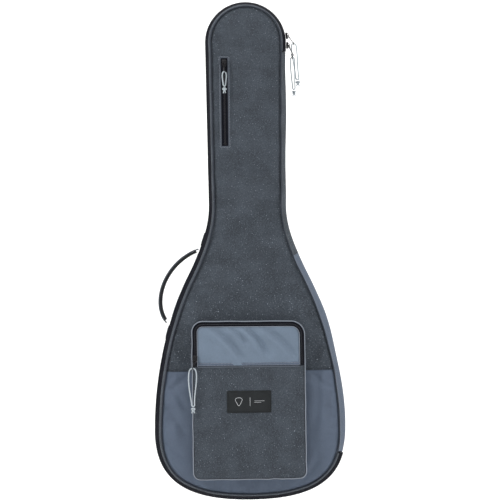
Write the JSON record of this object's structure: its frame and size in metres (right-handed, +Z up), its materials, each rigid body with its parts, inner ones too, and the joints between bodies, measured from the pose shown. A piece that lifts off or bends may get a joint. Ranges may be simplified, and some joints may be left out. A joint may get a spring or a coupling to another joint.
{
  "type": "padded guitar gig bag",
  "caption": "Padded soft case shaped to an acoustic guitar, with a zipped hinged cover, a zipped accessory pocket, a neck pocket, a carry handle, a haul loop and shoulder straps.",
  "frame": {"origin": "the middle of the bag's foot, at the middle of its depth with its pocket and straps", "axes": "+Z up the bag from its foot to its head, +Y from its front to its back, +X to the right as seen from the front"},
  "size_m": [0.4196, 0.2129, 1.0972],
  "materials": {
    "heather": "dark blue-grey melange canvas",
    "slate": "plain slate-blue canvas",
    "lining": "soft brushed lining",
    "foam": "padding foam between cloth and lining",
    "piping": "light grey piping",
    "zipper": "woven zipper tape with a nylon coil",
    "metal": "black painted zinc",
    "cord": "off-white braided cord",
    "webbing": "black webbing and padding",
    "rubber": "matte moulded rubber",
    "plastic": "black acetal"
  },
  "bodies": {
    "bag_back": {"back_panel_lower": "slate", "back_panel_upper": "heather", "back_foam": "foam", "back_lining": "lining", "zipper_side_gusset": "slate", "hinge_side_gusset": "slate", "side_foam": "foam", "side_lining": "lining", "back_piping": "slate", "main_zipper_tape_rear": "zipper", "main_zipper_coil_rear": "zipper", "main_lower_slider": "metal", "handle_anchor_upper": "webbing", "handle_anchor_lower": "webbing", "haul_loop": "webbing", "haul_loop_patch": "webbing", "strap_anchor_patch": "webbing", "neck_cradle": "lining", "neck_strap": "webbing"},
    "cover": {"front_panel_lower": "slate", "front_panel_upper": "heather", "front_foam": "foam", "front_lining": "lining", "front_side_band": "heather", "front_piping": "heather", "main_zipper_tape_front": "zipper", "main_zipper_coil_front": "zipper", "neck_zipper": "zipper", "pocket_gusset": "heather", "pocket_piping": "piping", "pocket_panel_lower": "heather", "label_patch": "rubber", "pocket_zipper_tape_rear": "zipper", "pocket_zipper_coil": "zipper"},
    "pocket_flap": {"pocket_panel_upper": "slate", "pocket_zipper_tape_front": "zipper"},
    "main_upper_slider": {"main_upper_slider": "metal"},
    "main_upper_tab": {"main_upper_tab": "metal"},
    "main_upper_pull": {"main_upper_cord": "cord", "main_upper_knot": "cord"},
    "main_lower_tab": {"main_lower_tab": "metal"},
    "main_lower_pull": {"main_lower_swivel": "metal", "main_lower_cord": "cord", "main_lower_knot": "cord"},
    "neck_slider": {"neck_slider": "metal"},
    "neck_tab": {"neck_tab": "metal"},
    "neck_pull": {"neck_cord": "cord", "neck_knot": "cord"},
    "pocket_slider": {"pocket_slider": "metal"},
    "pocket_tab": {"pocket_tab": "metal"},
    "pocket_pull": {"pocket_cord": "cord", "pocket_knot": "cord"},
    "side_handle": {"side_handle_strap": "webbing", "side_handle_grip": "webbing"},
    "strap_right": {"shoulder_strap_right": "webbing", "ladder_lock_right": "plastic"},
    "strap_left": {"shoulder_strap_left": "webbing", "ladder_lock_left": "plastic"},
    "webbing_right": {"strap_webbing_right": "webbing"},
    "webbing_left": {"strap_webbing_left": "webbing"}
  },
  "joints": [
    {"name": "cover_opens", "type": "hinge", "parent": "bag_back", "child": "cover", "pos_m": [0.08921, -0.03673, 0.98223], "axis": [-0.1554, 0.0316, 0.9873], "range_deg": [0, 140]},
    {"name": "pocket_flap_folds", "type": "hinge", "parent": "cover", "child": "pocket_flap", "pos_m": [-0.003, -0.08972, 0.326], "axis": [1, 0, 0], "range_deg": [0, 75]},
    {"name": "main_upper_slider_travel", "type": "hinge", "parent": "bag_back", "child": "main_upper_slider", "pos_m": [0, -0.00212, 1.006], "axis": [0, -0.9995, 0.032], "range_deg": [0, 162], "deforming": ["main_upper_cord", "main_upper_knot"]},
    {"name": "main_upper_tab_falls", "type": "hinge", "parent": "main_upper_slider", "child": "main_upper_tab", "pos_m": [0.09445, -0.00169, 1.02012], "axis": [-0.0047, -0.9995, 0.0313], "range_deg": [0, 131]},
    {"name": "main_upper_pull_hangs", "type": "hinge", "parent": "main_upper_tab", "child": "main_upper_pull", "pos_m": [0.10634, -0.00097, 1.00282], "axis": [0, -0.9995, 0.032], "range_deg": [-295, 0]},
    {"name": "main_lower_tab_lifts", "type": "hinge", "parent": "bag_back", "child": "main_lower_tab", "pos_m": [0.09542, -0.00236, 0.99843], "axis": [0.0031, -0.9621, 0.2728], "range_deg": [-8, 40], "deforming": ["main_lower_cord", "main_lower_knot"]},
    {"name": "main_lower_pull_hangs", "type": "hinge", "parent": "main_lower_tab", "child": "main_lower_pull", "pos_m": [0.10307, -0.00767, 0.97702], "axis": [0.0031, -0.9621, 0.2728], "range_deg": [-41, 9]},
    {"name": "neck_slider_travel", "type": "slide", "parent": "cover", "child": "neck_slider", "axis": [0, -0.032, -0.9995], "range_m": [0, 0.164]},
    {"name": "neck_tab_lifts", "type": "hinge", "parent": "neck_slider", "child": "neck_tab", "pos_m": [-0.048, -0.04457, 0.95894], "axis": [-1, 0, 0], "range_deg": [-6, 90], "deforming": ["neck_cord", "neck_knot"]},
    {"name": "neck_pull_hangs", "type": "hinge", "parent": "neck_tab", "child": "neck_pull", "pos_m": [-0.048, -0.051, 0.93895], "axis": [-1, 0, 0], "range_deg": [-91, 7]},
    {"name": "pocket_slider_travel", "type": "slide", "parent": "cover", "child": "pocket_slider", "axis": [0, 0.032, 0.9995], "range_m": [0, 0.046]},
    {"name": "pocket_tab_lifts", "type": "hinge", "parent": "pocket_slider", "child": "pocket_tab", "pos_m": [-0.11895, -0.0976, 0.31419], "axis": [-0.9613, 0.0088, 0.2755], "range_deg": [-4, 90], "deforming": ["pocket_cord", "pocket_knot"]},
    {"name": "pocket_pull_hangs", "type": "hinge", "parent": "pocket_tab", "child": "pocket_pull", "pos_m": [-0.12461, -0.1026, 0.29459], "axis": [-0.9613, 0.0088, 0.2755], "range_deg": [-91, 5]},
    {"name": "side_handle_swings", "type": "hinge", "parent": "bag_back", "child": "side_handle", "pos_m": [-0.147, 0.03485, 0.469], "axis": [0.4072, 0, 0.9134], "range_deg": [-13, 13]},
    {"name": "strap_right_swings", "type": "hinge", "parent": "bag_back", "child": "strap_right", "pos_m": [0.036, 0.07885, 0.578], "axis": [1, 0, 0], "range_deg": [0, 8]},
    {"name": "webbing_right_follows", "type": "hinge", "parent": "bag_back", "child": "webbing_right", "pos_m": [0.16, 0.07425, 0.112], "axis": [0.9282, 0, 0.372], "range_deg": [-21, 0]},
    {"name": "strap_left_swings", "type": "hinge", "parent": "bag_back", "child": "strap_left", "pos_m": [-0.036, 0.07885, 0.578], "axis": [1, 0, 0], "range_deg": [0, 8]},
    {"name": "webbing_left_follows", "type": "hinge", "parent": "bag_back", "child": "webbing_left", "pos_m": [-0.16, 0.07425, 0.112], "axis": [0.9282, 0, -0.372], "range_deg": [-21, 0]}
  ],
  "couplings": [
    {"joint": "main_upper_tab_falls", "follows": "main_upper_slider_travel", "ratio": 0.8},
    {"joint": "main_upper_pull_hangs", "follows": "main_upper_slider_travel", "ratio": -1.8},
    {"joint": "main_lower_pull_hangs", "follows": "main_lower_tab_lifts", "ratio": -1},
    {"joint": "neck_pull_hangs", "follows": "neck_tab_lifts", "ratio": -1},
    {"joint": "pocket_pull_hangs", "follows": "pocket_tab_lifts", "ratio": -1},
    {"joint": "webbing_right_follows", "follows": "strap_right_swings", "ratio": -2.46},
    {"joint": "webbing_left_follows", "follows": "strap_left_swings", "ratio": -2.46}
  ]
}
